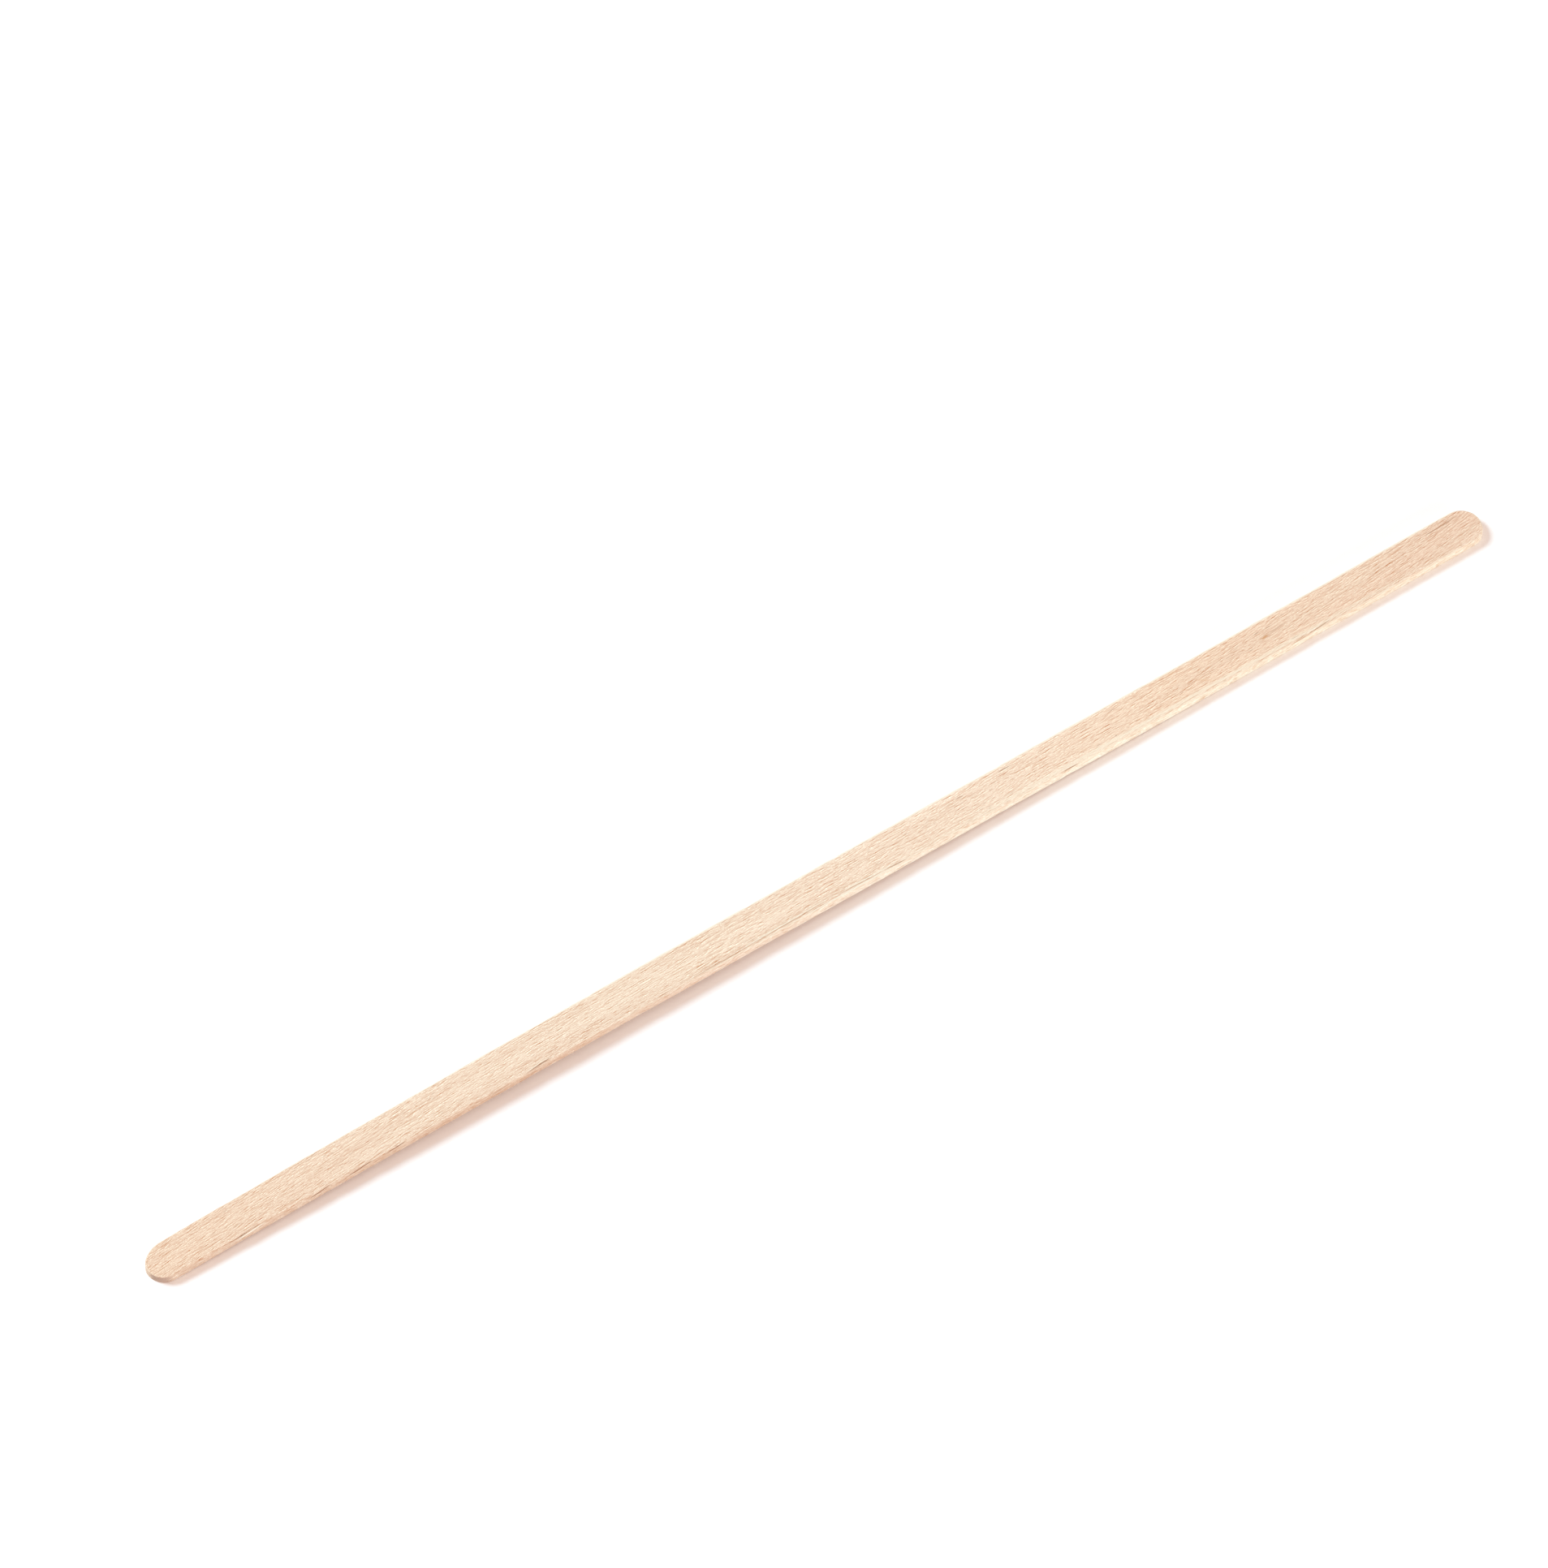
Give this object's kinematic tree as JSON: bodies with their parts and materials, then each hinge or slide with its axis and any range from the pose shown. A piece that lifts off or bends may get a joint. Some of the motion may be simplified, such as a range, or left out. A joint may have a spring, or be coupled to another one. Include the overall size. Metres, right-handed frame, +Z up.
{
  "type": "coffee stirrer",
  "caption": "Flat, slender strip of pale birch wood with full-round ends and softened edges, gently bowed along its length, for stirring a hot drink.",
  "frame": {"origin": "on the floor, halfway between the tips and in the middle of the width", "axes": "+X along the strip towards its broader end, +Y across it, +Z up through its thickness"},
  "size_m": [0.19, 0.0052, 0.002],
  "materials": {
    "birch": "bare tumbled veneer, unvarnished and matt"
  },
  "bodies": {
    "root": {"stirrer": "birch"}
  },
  "joints": []
}
